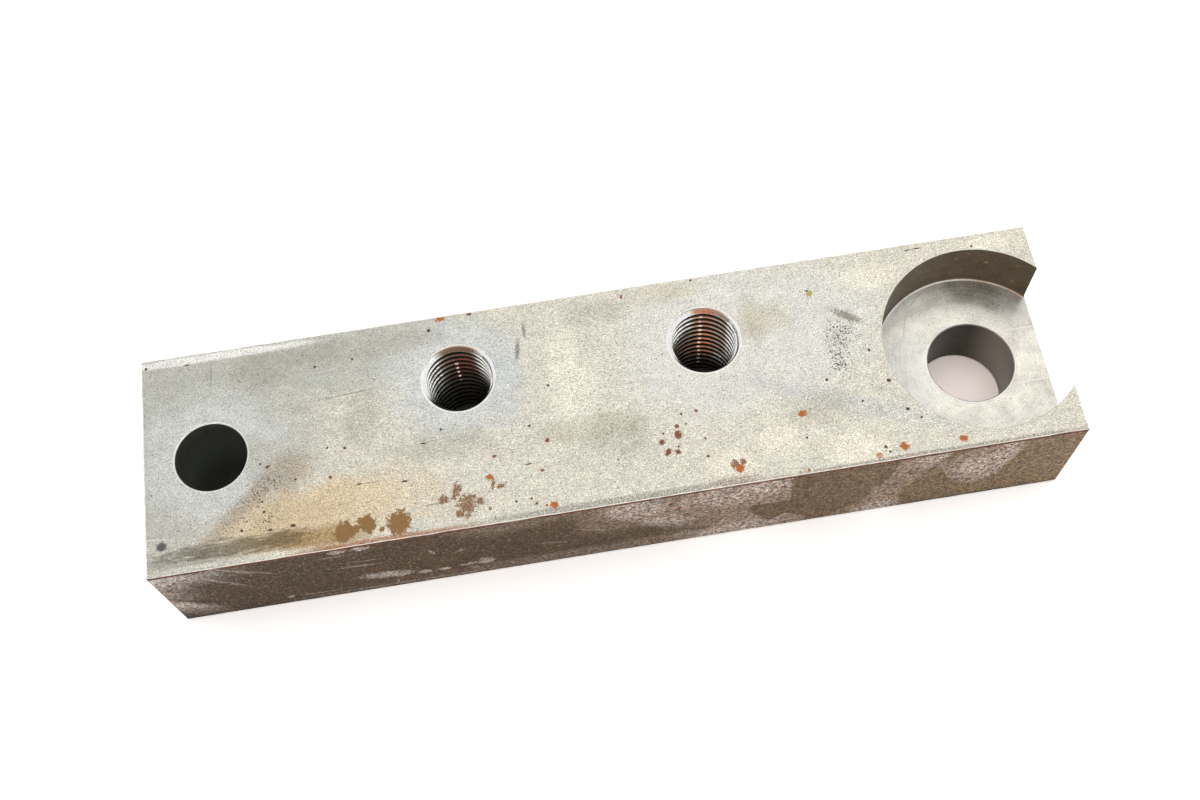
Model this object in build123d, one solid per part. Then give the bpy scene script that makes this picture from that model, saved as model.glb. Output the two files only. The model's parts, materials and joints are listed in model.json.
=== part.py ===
from build123d import *
import os

# Machined mounting block: a flat steel bar with a plain through hole, two tapped through
# holes, and a counterbored through hole whose counterbore opens through one end.
# Millimetres. Origin at the middle of the bottom face, +X along the bar towards the open
# counterbore, +Y across it, +Z up through the machined top face.

# The bar
block_length = 275
block_width = 70
block_height = 40
edge_chamfer = 0.35

# Plain hole at the closed end, on the bar's centreline
plain_hole_diameter = 21.5
plain_hole_from_end = 20
plain_hole_chamfer = 0.25

# Tapped holes for a 7/8-9 UNC thread, bored to tap-drill size, each with a 90-degree
# countersink at both faces. They follow the plain hole at an even pitch, in a row set back
# from the centreline.
tapped_hole_count = 2
hole_pitch = 75
tapped_row_offset = 13
tap_drill_diameter = 19.45
countersink_diameter = 22.25

# Counterbored hole at the open end, on the centreline
counterbore_from_end = 22.5
counterbore_diameter = 60
counterbore_depth = 18
counterbore_rim_chamfer = 0.2
counterbore_root_radius = 1
bore_diameter = 26.5
bore_chamfer = 0.3

# How far each cutter reaches past the faces it opens
cutter_overrun = 2

# Places along the bar
closed_end_x = -block_length / 2
open_end_x = block_length / 2
plain_hole_x = closed_end_x + plain_hole_from_end
tapped_hole_xs = [plain_hole_x + hole_pitch * (i + 1) for i in range(tapped_hole_count)]
counterbore_x = open_end_x - counterbore_from_end
counterbore_floor_z = block_height - counterbore_depth


def blank():
    """The bar, with every outer edge broken."""
    with BuildPart() as bar:
        with BuildSketch():
            Rectangle(block_length, block_width)
        extrude(amount=block_height)
        chamfer(bar.edges(), edge_chamfer)
    return bar.part


def through_hole_cutter(diameter, mouth_diameter):
    """A round cutter through the bar that opens at 45 degrees to mouth_diameter at each face."""
    radius = diameter / 2
    mouth_radius = mouth_diameter / 2
    mouth_depth = mouth_radius - radius
    with BuildPart() as cutter:
        with BuildSketch(Plane.XZ):
            with BuildLine():
                Polyline(
                    (0, -cutter_overrun),
                    (mouth_radius, -cutter_overrun),
                    (mouth_radius, 0),
                    (radius, mouth_depth),
                    (radius, block_height - mouth_depth),
                    (mouth_radius, block_height),
                    (mouth_radius, block_height + cutter_overrun),
                    (0, block_height + cutter_overrun),
                    close=True,
                )
            make_face()
        revolve(axis=Axis.Z)
    return cutter.part


def counterbore_cutter():
    """The counterbore with its rounded root, turned in one profile with the bore under it."""
    wall_radius = counterbore_diameter / 2
    rim_radius = wall_radius + counterbore_rim_chamfer
    bore_radius = bore_diameter / 2
    bore_mouth_radius = bore_radius + bore_chamfer
    with BuildPart() as cutter:
        with BuildSketch(Plane.XZ):
            with BuildLine():
                wall = Polyline(
                    (bore_mouth_radius, counterbore_floor_z),
                    (wall_radius, counterbore_floor_z),
                    (wall_radius, block_height - counterbore_rim_chamfer),
                    (rim_radius, block_height),
                    (rim_radius, block_height + cutter_overrun),
                    (0, block_height + cutter_overrun),
                )
                Polyline(
                    wall @ 1,
                    (0, -cutter_overrun),
                    (bore_mouth_radius, -cutter_overrun),
                    (bore_mouth_radius, 0),
                    (bore_radius, bore_chamfer),
                    (bore_radius, counterbore_floor_z - bore_chamfer),
                    wall @ 0,
                )
            profile = make_face()
            root = profile.vertices().sort_by_distance((wall_radius, 0, counterbore_floor_z))[0]
            fillet(root, counterbore_root_radius)
        revolve(axis=Axis.Z)
    return cutter.part


def mounting_block():
    """The whole block: the bar with its four holes cut."""
    plain_cutter = through_hole_cutter(plain_hole_diameter, plain_hole_diameter + 2 * plain_hole_chamfer)
    tap_cutter = through_hole_cutter(tap_drill_diameter, countersink_diameter)
    block = blank()
    block -= Pos(plain_hole_x, 0, 0) * plain_cutter
    for tapped_hole_x in tapped_hole_xs:
        block -= Pos(tapped_hole_x, tapped_row_offset, 0) * tap_cutter
    block -= Pos(counterbore_x, 0, 0) * counterbore_cutter()
    return block


os.makedirs("parts", exist_ok=True)
export_step(mounting_block(), "parts/mounting_block.step")
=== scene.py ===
import functools
import json
import math

import bpy
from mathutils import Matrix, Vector, noise


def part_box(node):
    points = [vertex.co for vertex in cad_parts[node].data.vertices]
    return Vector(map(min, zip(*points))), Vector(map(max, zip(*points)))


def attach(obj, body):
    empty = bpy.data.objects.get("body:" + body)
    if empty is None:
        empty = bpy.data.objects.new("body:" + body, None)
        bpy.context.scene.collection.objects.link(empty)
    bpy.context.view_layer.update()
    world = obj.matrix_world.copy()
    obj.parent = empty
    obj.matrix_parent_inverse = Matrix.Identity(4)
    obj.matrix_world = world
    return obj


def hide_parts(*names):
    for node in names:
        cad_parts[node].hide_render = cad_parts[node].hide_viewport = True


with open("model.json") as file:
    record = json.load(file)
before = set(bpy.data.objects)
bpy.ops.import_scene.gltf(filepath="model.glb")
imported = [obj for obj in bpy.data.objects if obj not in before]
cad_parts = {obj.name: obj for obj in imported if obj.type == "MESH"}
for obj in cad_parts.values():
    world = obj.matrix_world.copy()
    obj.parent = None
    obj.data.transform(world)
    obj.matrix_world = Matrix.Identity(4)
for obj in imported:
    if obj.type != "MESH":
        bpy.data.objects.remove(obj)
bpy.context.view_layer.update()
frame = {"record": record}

# ---- sizes
# Everything is worked out in millimetres in the frame's own axes, and written to Blender in metres.
MM = 0.001
NODE = "mounting_block"

low, high = (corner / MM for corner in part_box(NODE))
LENGTH, WIDTH, HEIGHT = high - low
mounts = {m["name"]: m for m in frame["record"]["mounts"]}


def axis_of(mount):
    """Where a hole's axis stands, in millimetres."""
    return mounts[mount]["pos_m"][0] / MM, mounts[mount]["pos_m"][1] / MM


def radius_of(mount):
    """A hole's radius, in millimetres."""
    return mounts[mount]["dims"]["r_mm"]


PLAIN_HOLE = axis_of("plain_hole")
TAPPED_HOLES = [axis_of("tapped_hole_1"), axis_of("tapped_hole_2")]
COUNTERBORE = axis_of("counterbore")
PLAIN_RADIUS = radius_of("plain_hole")
CREST_RADIUS = radius_of("tapped_hole_1")
COUNTERBORE_RADIUS = radius_of("counterbore")
BORE_RADIUS = radius_of("counterbored_hole")
FLOOR_Z = mounts["counterbore_floor"]["pos_m"][2] / MM

EDGE_RADIUS = 0.45
EDGE_WOBBLE = 0.35
BODY_SECTIONS = 140
ROOT_STEPS = 8
HOLE_CHAMFER = 0.3
RIM_CHAMFER = 0.2
ROOT_RADIUS = 1.0
ROUND_STEPS = 192
OVERRUN = 2.0
SHARP_ANGLE = math.radians(20)

# 7/8-9 UNC thread. Each one starts some part of a pitch up, as the turns in the photo lie.
THREAD_PITCH = 25.4 / 9
THREAD_MAJOR_RADIUS = 25.4 * 0.875 / 2
THREAD_FLANK_ANGLE = math.radians(30)
THREAD_ROOT_FLAT = THREAD_PITCH / 8
THREAD_FLANK = (THREAD_MAJOR_RADIUS - CREST_RADIUS) * math.tan(THREAD_FLANK_ANGLE)
THREAD_CREST_FLAT = THREAD_PITCH - THREAD_ROOT_FLAT - 2 * THREAD_FLANK
COUNTERSINK_DEPTH = (HEIGHT - mounts["tapped_hole_1"]["dims"]["length_mm"]) / 2
COUNTERSINK_RADIUS = CREST_RADIUS + COUNTERSINK_DEPTH
THREAD_STARTS = [0.48, 0.55]


# ---- the block's shape
def stand(name, data, place=(0, 0, 0)):
    """Puts an object with this data in the scene."""
    thing = bpy.data.objects.new(name, data)
    thing.location = Vector(place) * MM
    bpy.context.scene.collection.objects.link(thing)
    return thing


def mesh_object(name, points, faces):
    """A mesh from points in millimetres."""
    mesh = bpy.data.meshes.new(name)
    mesh.from_pydata([Vector(p) * MM for p in points], [], faces)
    mesh.update()
    return stand(name, mesh)


def around(centre, radius, turn, z):
    """A point round an upright axis."""
    return centre[0] + radius * math.cos(turn), centre[1] + radius * math.sin(turn), z


def circle(centre, radius, z):
    """The points of one ring."""
    return [around(centre, radius, math.tau * i / ROUND_STEPS, z) for i in range(ROUND_STEPS)]


def turned(name, profile, centre):
    """A solid of revolution. Its profile is (radius, z) pairs that go up, from the axis and back to it."""
    points = []
    rings = []
    for radius, z in profile:
        ring = circle(centre, radius, z) if radius else [(*centre, z)]
        rings.append(range(len(points), len(points) + len(ring)))
        points += ring
    faces = []
    for lower, upper in zip(rings, rings[1:]):
        for i in range(ROUND_STEPS):
            j = (i + 1) % ROUND_STEPS
            if len(lower) == 1:
                faces.append((lower[0], upper[j], upper[i]))
            elif len(upper) == 1:
                faces.append((lower[i], lower[j], upper[0]))
            else:
                faces.append((lower[i], lower[j], upper[j], upper[i]))
    return mesh_object(name, points, faces)


def tap(name, centre, start):
    """The tap's full form as a solid: one helical ridge of crest, flank, root, flank for each turn."""
    section = [
        (CREST_RADIUS, 0.0),
        (CREST_RADIUS, THREAD_CREST_FLAT),
        (THREAD_MAJOR_RADIUS, THREAD_CREST_FLAT + THREAD_FLANK),
        (THREAD_MAJOR_RADIUS, THREAD_PITCH - THREAD_FLANK),
    ]
    corners = len(section)
    turns = math.ceil((HEIGHT + 4 * OVERRUN) / THREAD_PITCH)
    steps = ROUND_STEPS // 2
    count = turns * corners
    stride = count + corners + 1
    bottom = -2 * OVERRUN + start * THREAD_PITCH
    points = []
    for i in range(steps):
        rise = bottom + THREAD_PITCH * i / steps
        for k in range(stride):
            radius, z = section[k % corners]
            z += rise + THREAD_PITCH * (k // corners)
            points.append(around(centre, radius, math.tau * i / steps, z))
    faces = []
    for i in range(steps):
        j, shift = (i + 1, 0) if i + 1 < steps else (0, corners)
        for k in range(count):
            a, b = i * stride + k, i * stride + k + 1
            c, d = j * stride + k + 1 + shift, j * stride + k + shift
            faces.append((a, d, c, b))
    # the ends: a fan from each end of the ridge to the axis
    for first, z, way in ((0, bottom - OVERRUN, -1), (count, bottom + THREAD_PITCH * (turns + 2), 1)):
        ring = [i * stride + first for i in range(steps)] + [first + corners - k for k in range(corners)]
        tip = len(points)
        points.append((*centre, z))
        for a, b in zip(ring, ring[1:] + ring[:1]):
            faces.append((tip, a, b) if way > 0 else (tip, b, a))
    return mesh_object(name, points, faces)


def bar(name):
    """The bar with rounded, slightly uneven edges, as sections along X, drawn in towards both ends."""
    arc = [math.radians(a) for a in (0, 30, 60, 90)]
    stations = []
    for a in arc:
        stations.append((-LENGTH / 2 + EDGE_RADIUS * (1 - math.sin(a)), EDGE_RADIUS * (1 - math.cos(a))))
    stations.sort()
    inner = LENGTH / 2 - EDGE_RADIUS
    body = [(-inner + 2 * inner * i / BODY_SECTIONS, 0.0) for i in range(1, BODY_SECTIONS)]
    stations += body + [(-x, inset) for x, inset in reversed(stations)]
    points = []
    for x, inset in stations:
        for side_y, side_z, first in ((1, 1, 0), (-1, 1, 90), (-1, -1, 180), (1, -1, 270)):
            wobble = noise.noise(Vector((x * 0.15, side_y * 7.0, side_z * 5.0)))
            radius = EDGE_RADIUS * (1 + EDGE_WOBBLE * wobble)
            centre_y = side_y * (WIDTH / 2 - radius)
            centre_z = HEIGHT / 2 + side_z * (HEIGHT / 2 - radius)
            for a in arc:
                turn = math.radians(first) + a
                reach = max(radius - inset, 0.02)
                points.append((x, centre_y + reach * math.cos(turn), centre_z + reach * math.sin(turn)))
    ring = 4 * len(arc)
    faces = []
    for s in range(len(stations) - 1):
        for k in range(ring):
            a, b = s * ring + k, s * ring + (k + 1) % ring
            faces.append((a, b, b + ring, a + ring))
    faces.append(tuple(reversed(range(ring))))
    faces.append(tuple((len(stations) - 1) * ring + k for k in range(ring)))
    return mesh_object(name, points, faces)


def cut(piece, cutter):
    """Takes the cutter's solid out of the piece, and deletes the cutter."""
    modifier = piece.modifiers.new("cut", "BOOLEAN")
    modifier.operation = "DIFFERENCE"
    modifier.solver = "MANIFOLD"
    modifier.object = cutter
    shaped = piece.evaluated_get(bpy.context.evaluated_depsgraph_get())
    mesh = bpy.data.meshes.new_from_object(shaped)
    piece.modifiers.remove(modifier)
    piece.data = mesh
    bpy.data.objects.remove(cutter)


def hole_profile(radius, top):
    """A through hole from below the block up to its broken rim, as (radius, z) pairs going up."""
    mouth = radius + HOLE_CHAMFER
    return [
        (0, -OVERRUN),
        (mouth, -OVERRUN),
        (mouth, 0),
        (radius, HOLE_CHAMFER),
        (radius, top - HOLE_CHAMFER),
        (mouth, top),
    ]


def open_above(profile):
    """The profile carried on past the top face and back to the axis."""
    return [*profile, (profile[-1][0], HEIGHT + OVERRUN), (0, HEIGHT + OVERRUN)]


def counterbore_profile():
    """The bore under the counterbore, the floor, the rounded root, the wall and the broken rim."""
    profile = hole_profile(BORE_RADIUS, FLOOR_Z)
    for i in range(ROOT_STEPS + 1):
        a = math.pi / 2 * i / ROOT_STEPS
        out = COUNTERBORE_RADIUS - ROOT_RADIUS * (1 - math.sin(a))
        profile.append((out, FLOOR_Z + ROOT_RADIUS * (1 - math.cos(a))))
    profile += [(COUNTERBORE_RADIUS, HEIGHT - RIM_CHAMFER), (COUNTERBORE_RADIUS + RIM_CHAMFER, HEIGHT)]
    return open_above(profile)


def machined_block():
    """The bar with its four holes cut."""
    block = bar("machined_block")
    cut(block, turned("plain_cutter", open_above(hole_profile(PLAIN_RADIUS, HEIGHT)), PLAIN_HOLE))
    wide = COUNTERSINK_RADIUS
    below = [(0, -OVERRUN), (wide, -OVERRUN), (wide, 0), (0, wide)]
    above = open_above([(0, HEIGHT - wide), (wide, HEIGHT)])
    for place, start in zip(TAPPED_HOLES, THREAD_STARTS):
        cut(block, tap("tap", place, start))
        cut(block, turned("lower_countersink", below, place))
        cut(block, turned("upper_countersink", above, place))
    cut(block, turned("counterbore_cutter", counterbore_profile(), COUNTERBORE))
    return block


# ---- node helper
def display(red, green, blue):
    """A colour as it shows on a screen, 0 to 255, in Blender's linear values."""
    return [((c / 255 + 0.055) / 1.055) ** 2.4 for c in (red, green, blue)] + [1.0]


def put(tree, socket, value):
    """Links a socket or sets it. A colour of three numbers is as on a screen, and one of four is linear."""
    if isinstance(value, bpy.types.NodeSocket):
        tree.links.new(value, socket)
    elif socket.type == "VECTOR":
        socket.default_value = value[:3]
    elif socket.type == "RGBA" and len(value) == 3:
        socket.default_value = display(*value)
    else:
        socket.default_value = value


def add_node(tree, kind, inputs, output=0, **settings):
    """Adds a node and gives one of its outputs. Its inputs are a list, in order, or a dict, by name."""
    node = tree.nodes.new("ShaderNode" + kind)
    for name, value in settings.items():
        setattr(node, name, value)
    for key, value in inputs.items() if isinstance(inputs, dict) else enumerate(inputs):
        put(tree, node.inputs[key], value)
    return node.outputs[output]


class Shader:
    """One material, painted in layers with short calls. Its lengths are millimetres."""

    def __init__(self, name, colour, metal, rough, gloss=0.5):
        self.material = bpy.data.materials.new(name)
        self.material.use_nodes = True
        self.tree = self.material.node_tree
        self.surface = self.tree.nodes["Principled BSDF"].inputs
        self.surface["Specular IOR Level"].default_value = gloss
        self.source = self.add("TexCoord", [], "Object")
        self.place = self.vector("SCALE", self.source, scale=1 / MM)
        self.colour = colour
        self.metal = metal
        self.rough = rough
        self.height = 0.0

    def add(self, kind, inputs, output=0, **settings):
        """A node of this material, as add_node makes it."""
        return add_node(self.tree, kind, inputs, output, **settings)

    def math(self, operation, *values):
        return self.add("Math", values, operation=operation)

    def vector(self, operation, *values, scale=None):
        """Vector maths, which gives a vector or a number."""
        gives_number = operation in ("LENGTH", "DISTANCE", "DOT_PRODUCT")
        inputs = dict(enumerate(values))
        if scale is not None:
            inputs["Scale"] = scale
        return self.add("VectorMath", inputs, "Value" if gives_number else "Vector", operation=operation)

    def toward(self, way):
        """How far the place lies along a direction."""
        return self.vector("DOT_PRODUCT", self.place, way)

    def chart(self, across, up, centre=(0, 0, 0)):
        """The place on a flat face, read along two axes from a corner, with the third at 0."""
        from_centre = self.vector("SUBTRACT", self.place, centre)
        return self.add("CombineXYZ", [self.vector("DOT_PRODUCT", from_centre, way) for way in (across, up)])

    def noise(self, size, detail=3, sharp=0.75, stretch=(1, 1, 1), seed=0, at=None):
        """Soft noise about 0.5, with blobs of about this size."""
        unit = 1 if at else MM
        spread = {
            "Vector": at or self.source,
            "Location": (seed, 1.7 * seed, -seed),
            "Scale": [1 / (size * s * unit) for s in stretch],
        }
        look = {"Vector": self.add("Mapping", spread), "Scale": 1, "Detail": detail, "Roughness": sharp}
        return self.add("TexNoise", look)

    def ramp(self, value, start, end):
        """A smooth step from 0 at start to 1 at end."""
        return self.add("MapRange", (value, start, end, 0, 1), interpolation_type="SMOOTHSTEP")

    def fold(self, operation, values):
        """Takes a list of numbers together, two by two."""
        return functools.reduce(lambda one, other: self.math(operation, one, other), values)

    def both(self, *masks):
        """The product of masks and strengths."""
        return self.fold("MULTIPLY", masks)

    def either(self, *masks):
        """The greatest of the masks."""
        return self.fold("MAXIMUM", masks)

    def outside(self, mask):
        return self.math("SUBTRACT", 1.0, mask)

    def ragged(self, distance, noise, amount):
        """A distance moved in and out by noise."""
        return self.math("ADD", distance, self.math("MULTIPLY", self.math("SUBTRACT", noise, 0.5), amount))

    def along(self, chart, start, way):
        """How far along a direction the place is, from a start."""
        from_start = start[0] * way[0] + start[1] * way[1]
        return self.math("SUBTRACT", self.vector("DOT_PRODUCT", chart, way), from_start)

    def distance(self, chart, mark):
        """How far a mark is, where 1 is its own edge. A mark is x, y and a radius, or x, y, half length,
        half width and the angle that its length makes with the chart, if any."""
        if len(mark) == 3:
            x, y, radius = mark
            return self.math("DIVIDE", self.vector("DISTANCE", chart, (x, y, 0)), radius)
        x, y, length, width, angle = (*mark, 0)[:5]
        turn = math.radians(angle)
        ahead = self.along(chart, (x, y), (math.cos(turn) / length, math.sin(turn) / length, 0))
        aside = self.along(chart, (x, y), (-math.sin(turn) / width, math.cos(turn) / width, 0))
        square = self.math("MULTIPLY", ahead, ahead)
        return self.math("SQRT", self.math("MULTIPLY_ADD", aside, aside, square))

    def nearest(self, chart, marks):
        """How far the nearest mark is."""
        return self.fold("MINIMUM", [self.distance(chart, mark) for mark in marks])

    def spread(self, chart, marks, noise, uneven, outer, inner):
        """A mask from 0 at outer to 1 at inner, in radii of the marks, which noise moves in and out."""
        return self.ramp(self.ragged(self.nearest(chart, marks), noise, uneven), outer, inner)

    def marks(self, chart, marks, soft, uneven, grain=0.8, seed=0):
        """A mask of marks with uneven edges, as fine as the grain."""
        return self.spread(chart, marks, self.noise(grain, 4, seed=seed), 2 * uneven, 1 + soft, 1 - soft)

    def pits(self, size, share, soft, seed):
        """Small irregular spots where fine noise passes a level, which the share, perhaps a mask, lowers."""
        high = self.math("MULTIPLY_ADD", share, 0.08, self.noise(size, seed=seed))
        return self.ramp(high, 0.66 - soft, 0.66 + soft)

    def outline(self, chart, corners):
        """Millimetres outside a convex outline, negative inside. Its corners run anticlockwise."""
        past = []
        for a, b in zip(corners, corners[1:] + corners[:1]):
            past.append(self.along(chart, a, Vector((b[1] - a[1], a[0] - b[0], 0)).normalized()))
        return self.fold("MAXIMUM", past)

    def specks(self, chart, spacing, size, amount=1.0, seed=0):
        """Specks of uneven size, one to a cell of the spacing, and smaller or gone where amount is less."""
        shifted = self.vector("ADD", chart, (71 * seed, 37 * seed, 0))
        cells = {"Vector": shifted, "Scale": 1 / spacing}
        distance = self.add("TexVoronoi", cells, "Distance", voronoi_dimensions="2D")
        chance = self.add("SeparateColor", [distance.node.outputs["Color"]])
        largest = self.math("MULTIPLY", self.math("POWER", chance, 3), size / 2 / spacing)
        reach = self.math("MULTIPLY_ADD", largest, amount, -0.02)
        return self.ramp(distance, self.math("ADD", reach, 0.04), reach)

    def mixed(self, mask, before, after):
        """Before where the mask is 0 and after where it is 1: two colours or two numbers."""
        is_number = isinstance(after, (int, float))
        kind, first, result = ("FLOAT", 2, 0) if is_number else ("RGBA", 6, 2)
        return self.add("Mix", {0: mask, first: before, first + 1: after}, result, data_type=kind)

    def layer(self, mask, colour=None, metal=None, rough=None, lift=None, amount=None):
        """Paints over what is there, where the mask is 1, at the strength amount. Lift is in millimetres."""
        if amount is not None:
            mask = self.math("MULTIPLY", mask, amount)
        for look, value in (("colour", colour), ("metal", metal), ("rough", rough)):
            if value is not None:
                setattr(self, look, self.mixed(mask, getattr(self, look), value))
        if lift is not None:
            self.emboss(mask, lift)

    def shade(self, noise, amount):
        """Makes the colour lighter and darker by up to this share, by noise about 0.5."""
        value = self.math("MULTIPLY_ADD", noise, 2 * amount, 1 - amount)
        self.colour = self.add("HueSaturation", {"Value": value, "Color": self.colour})

    def roughen(self, noise, amount):
        """Makes the roughness uneven, by noise about 0.5."""
        self.rough = self.ragged(self.rough, noise, amount)

    def emboss(self, noise, depth):
        """Adds noise to the surface's height, in millimetres."""
        self.height = self.math("ADD", self.height, self.math("MULTIPLY", noise, depth))

    def finish(self):
        """Joins everything to the surface and gives the material."""
        bump = self.add("Bump", {"Distance": MM, "Height": self.height})
        looks = {"Base Color": self.colour, "Metallic": self.metal, "Roughness": self.rough, "Normal": bump}
        for name, value in looks.items():
            put(self.tree, self.surface[name], value)
        return self.material


# ---- materials
# Marks on a face are placed in millimetres from its lower left corner, as seen from outside.
ALONG, BACK, UP = (1, 0, 0), (0, 1, 0), (0, 0, 1)
LEFT_FRONT = (-LENGTH / 2, -WIDTH / 2, 0)

CREAM_STEEL = (206, 201, 187)
BLUE_STEEL = (200, 201, 196)
PALE_STEEL = (208, 207, 199)
GREY_STEEL = (185, 185, 175)
BRIGHT_STEEL = (238, 237, 232)
TAN_FILM = (204, 184, 150)
SMEAR = (110, 102, 84)
OLIVE_SMEAR = (126, 106, 72)
PIT = (70, 60, 48)
BROWN_RUST = (143, 108, 64)
RED_RUST = (136, 78, 56)
ORANGE_RUST = (184, 104, 44)
OXIDE = (63, 45, 21)
PALE_OXIDE = (128, 107, 80)
BARE_PATCH = (190, 177, 165)
DULL_BARE = (150, 131, 113)
DARK_WALL = (98, 84, 64)

# On the top face
# the centre and radius of the painted orange arc of light on the counterbore's floor
LIGHT_ARC_CENTRE = (255.4, 43.9)
LIGHT_ARC_RADIUS = 21.35
DULL_AREAS = [
    (88, 27, 12, 3.5), (65, 40, 4, 7), (35, 30, 4, 8, 20), (140, 20, 8, 4),
    (200, 20, 7, 4), (20, 3, 8, 3), (35, 19, 3, 3), (186, 52, 3, 6), (140, 63, 7, 3),
]
LIGHT_AREAS = [
    (223, 61, 8, 3), (170, 7, 6, 3), (207, 6, 8, 4),
    (186, 12, 5, 4), (262, 66, 7, 2),
]
BLOTCHES = [
    (57.3, 4.9, 3, 3.3), (63.9, 6.3, 2.3, 3, 20), (60.7, 5.4, 1.2), (73.1, 5.2, 3.2, 3.6),
    (68, 4.1, 0.7),
]
BROWN_SPOTS = [
    (93.2, 7.3, 3.2, 2.6, 60), (91, 5, 1.3), (90.3, 12, 2.6, 1.3, 65), (86.4, 10, 1.2),
    (97, 7.9, 1.1, 0.8, -30), (101.1, 12.5, 1.4, 0.6, 80), (103.6, 11.5, 1.4, 0.6, 20),
    (99.6, 5, 0.5), (171.5, 6.9, 1.2), (173.8, 7, 0.9),
]
RED_SPOTS = [
    (118.7, 23.4, 0.65), (102.7, 21, 0.5), (116, 14.3, 0.45), (151.7, 17.1, 0.8),
    (156.8, 18.7, 1, 1.3, 10), (156.9, 21.4, 0.6), (153, 13.7, 1.2, 0.8, 50), (155.9, 13.3, 0.75),
    (156.3, 14.9, 0.35), (152.6, 19.8, 0.35), (158.9, 25.1, 0.4), (163.4, 25.4, 0.5),
    (159.6, 21.7, 0.3), (164.5, 16.2, 0.35), (164.2, 10.5, 0.45), (54.5, 22.6, 0.5), (59.4, 31.1, 0.45),
    (147.7, 66.9, 0.35, 0.7), (100.8, 69.1, 0.6), (169.6, 69, 0.4), (111.7, 6.1, 0.35),
    (112.9, 4.4, 0.4),
]
ORANGE_SPOTS = [
    (100.4, 14.7, 0.9), (117.9, 3.1, 1.1), (115.7, 3.4, 0.4), (172.6, 5.2, 1.3), (194, 19.1, 1.1),
    (220.9, 3.9, 1.2), (213.1, 2.3, 0.9), (238.4, 3.5, 1.15), (192.2, 1.4, 0.45),
    (91.8, 69, 1.4, 0.8),
]
DARK_DOTS = [
    (27.9, 10.3, 0.45), (36.1, 9.2, 0.6, 0.3), (42.7, 9.4, 0.8, 0.5), (1.6, 67.3, 0.4),
    (14, 66.5, 0.7, 0.25), (64, 59.9, 0.35), (52.6, 59.2, 0.4), (88, 65.6, 0.5),
    (44.4, 23.6, 0.35), (54.3, 32, 0.35), (88.1, 32.2, 0.35), (34.6, 15, 0.4),
    (36.5, 29, 0.7, 0.35, 25), (34.4, 30.2, 0.35), (82.5, 28.6, 0.9, 0.25),
    (75.9, 17.6, 0.9, 0.3), (62.6, 19, 0.7, 0.25), (121.4, 41.1, 0.4), (114.1, 28.9, 0.35),
    (107.2, 5.9, 0.35), (112.2, 16.9, 1, 0.2), (221.4, 25.4, 0.6), (218, 36.2, 0.4),
    (203.4, 28.7, 0.45), (212.3, 20.2, 0.35), (224.7, 15.4, 0.5), (215.5, 4.7, 0.45),
    (216.4, 3, 0.35), (228, 12.1, 0.35), (193.7, 11.4, 0.35), (237.5, 67.8, 1, 0.22),
    (240.5, 67.9, 1.1, 0.22), (257.2, 65.8, 0.4), (204, 59.1, 0.35),
]
DARK_SCRATCHES = [
    (60.9, 48.4, 8.6, 0.16, 4), (21.2, 61.8, 4.5, 0.16, 87), (65, 18.9, 3, 0.14),
    (84, 9.1, 3.5, 0.22), (116.6, 60.6, 2.4, 0.5, 90), (113.9, 54.4, 3.2, 0.7, 80),
]
BRIGHT_SCRATCHES = [
    (139.7, 22.5, 6.1, 0.18, 45), (127.5, 30.6, 5, 0.3, 3), (3, 11.6, 4.5, 0.3, -8),
    (196, 13, 9, 0.2), (55.8, 57.4, 3, 0.18, 5), (138.5, 60, 4, 0.3, -30),
]
SPECK_CLUSTERS = [(34, 20, 14, 5, 42), (33, 13.5, 6), (139.4, 13, 2.6)]
WORN_SPECKS = [(211, 42, 4.5, 5, 20), (208.5, 34.5, 3, 6)]


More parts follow.
